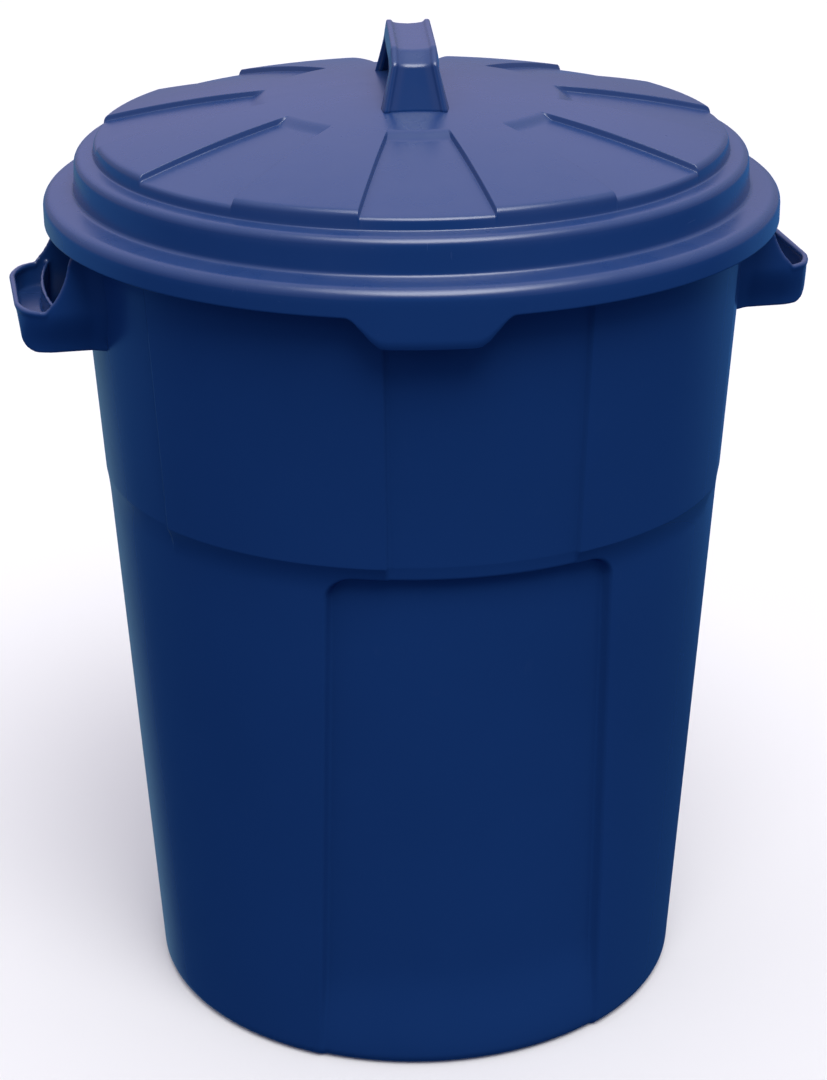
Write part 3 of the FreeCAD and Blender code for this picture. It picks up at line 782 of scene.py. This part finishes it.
def make_camera():
    """At the eye's place, towards the axis of the can and down on it, with a hair of roll."""
    side, pitch, roll = CAMERA_SIDE, CAMERA_PITCH, CAMERA_ROLL
    camera_data = bpy.data.cameras.new("camera")
    camera_data.lens = CAMERA_LENS
    camera_data.sensor_width = 36.0
    camera = bpy.data.objects.new("camera", camera_data)
    bpy.context.scene.collection.objects.link(camera)
    level = math.cos(pitch)
    ahead = Vector((math.sin(side) * level, math.cos(side) * level, -math.sin(pitch)))
    right = Vector((math.cos(side), -math.sin(side), 0.0))
    up = right.cross(ahead)
    across = right * math.cos(roll) + up * math.sin(roll)
    upward = up * math.cos(roll) - right * math.sin(roll)
    turn = Matrix((across, upward, -ahead)).transposed()
    left, front = CAMERA_DISTANCE * math.sin(side), CAMERA_DISTANCE * math.cos(side)
    place = Matrix.Translation((-left, -front, CAMERA_HEIGHT))
    camera.matrix_world = place @ turn.to_4x4()
    bpy.context.scene.camera = camera


SKY_LOW = (0.32, 0.31, 0.40, 1)
SKY_HIGH = (0.86, 0.83, 0.92, 1)
SKY_DARK = (0.01, 0.06, 0.14, 1)
GROUND_FAR = (0.06, 0.21, 0.54, 1)
GROUND_DIM = (0.014, 0.060, 0.180, 1)
GROUND_PALE = (0.14, 0.28, 0.42, 1)
# Directions of the dark part of the sky and of the paler patch of the ground. The dark part and
# the patch fade in over these ranges of the cosine to their direction.
SKY_GAP = (-0.10, -0.98, 0.16)
SKY_GAP_FADE = (0.90, 0.965)
GROUND_GLOW = (-0.13, 0.90, -0.41)
GROUND_GLOW_FADE = (0.90, 0.985)
# Ranges of the upward part of a direction, or of its backward part for BEHIND_FADE.
SKY_FADE = (0.15, 0.80)
HORIZON_FADE = (-0.12, -0.02)
FAR_FADE = (-0.46, -0.28)
BEHIND_FADE = (0.10, 0.45)


def make_world():
    """A pale sky, brighter overhead and dark low in front, over dim ground that is bluer a long
    way behind the can, with a paler patch."""
    world = bpy.data.worlds.new("studio")
    bpy.context.scene.world = world
    world.use_nodes = True
    nodes = Nodes(world.node_tree)
    toward = nodes.add("ShaderNodeTexCoord", {}).outputs["Generated"]
    up = nodes.add("ShaderNodeSeparateXYZ", {0: toward}).outputs["Z"]
    sky = nodes.mixed(nodes.between(up, *SKY_FADE), SKY_LOW, SKY_HIGH)
    dark_front = nodes.between(nodes.dot(toward, SKY_GAP), *SKY_GAP_FADE)
    sky = nodes.mixed(dark_front, sky, SKY_DARK)
    behind = nodes.between(nodes.dot(toward, (0, 1, 0)), *BEHIND_FADE)
    far_ground = nodes.math("MULTIPLY", behind, nodes.between(up, *FAR_FADE))
    ground = nodes.mixed(far_ground, GROUND_DIM, GROUND_FAR)
    glow = nodes.between(nodes.dot(toward, GROUND_GLOW), *GROUND_GLOW_FADE)
    ground = nodes.mixed(glow, ground, GROUND_PALE)
    colour = nodes.mixed(nodes.between(up, *HORIZON_FADE), ground, sky)
    nodes.put(world.node_tree.nodes["Background"].inputs["Color"], colour)


LIGHT_DISTANCE = 3.0


def soft_light(name, side, tilt, width, energy, colour=(1.0, 1.0, 1.0)):
    """A wide soft light in front of the can: side is measured towards +X and tilt from overhead,
    in degrees. A negative tilt puts it behind."""
    data = bpy.data.lights.new(name, "SUN")
    data.angle = math.radians(width)
    data.energy = energy
    data.color = colour
    light = bpy.data.objects.new(name, data)
    bpy.context.scene.collection.objects.link(light)
    light.matrix_world = (
        Matrix.Rotation(math.radians(side), 4, "Z")
        @ Matrix.Rotation(math.radians(tilt), 4, "X")
        @ Matrix.Translation((0, 0, LIGHT_DISTANCE))
    )
    return light


FLOOR_HALF = 20


def make_floor():
    """A wide pale floor, which the can doesn't mirror."""
    mesh = bpy.data.meshes.new("floor")
    corners = [(x * FLOOR_HALF, y * FLOOR_HALF, 0) for x, y in ((-1, -1), (1, -1), (1, 1), (-1, 1))]
    mesh.from_pydata(corners, [], [(0, 1, 2, 3)])
    material = bpy.data.materials.new("floor_paint")
    material.use_nodes = True
    shader = material.node_tree.nodes["Principled BSDF"]
    shader.inputs["Base Color"].default_value = (0.90, 0.90, 0.89, 1)
    shader.inputs["Roughness"].default_value = 0.9
    shader.inputs["Specular IOR Level"].default_value = 0.1
    mesh.materials.append(material)
    floor = bpy.data.objects.new("floor", mesh)
    floor.visible_glossy = False
    floor.visible_diffuse = False
    bpy.context.scene.collection.objects.link(floor)


# ---------------------------------------------------------------- build

bpy.context.scene.view_settings.view_transform = "Standard"

# Each plastic's pale layer on what faces up is dust and painted sheen.
tub_plastic = plastic("tub_plastic", dust_and_sheen_most=0.6, scuff_most=0.05)
lid_plastic = plastic("lid_plastic", dust_and_sheen_most=1.0, scuff_most=0.12)

tub = make_tub(tub_plastic)
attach(tub, "can")
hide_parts("tub_shell")

lid = make_lid(lid_plastic)
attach(lid, "lid")
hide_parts("lid_shell")

strap = make_strap(lid_plastic)
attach(strap, "lid")
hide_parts("lid_strap_handle")

for node in ("left_side_handle", "right_side_handle"):
    grip = make_side_handle(node, tub_plastic)
    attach(grip, "can")
    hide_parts(node)

make_camera()
make_world()
soft_light("key", side=4.0, tilt=30.0, width=36.0, energy=1.65)
# These two are only seen in the gloss: of the lid's edges, and of the dome.
soft_light("edge_gloss", side=4.0, tilt=24.0, width=56.0, energy=2.4).visible_diffuse = False
dome_gloss = soft_light(
    "dome_gloss", side=0.0, tilt=-52.0, width=64.0, energy=0.24, colour=(0.50, 0.38, 1.0)
)
dome_gloss.visible_diffuse = False
make_floor()
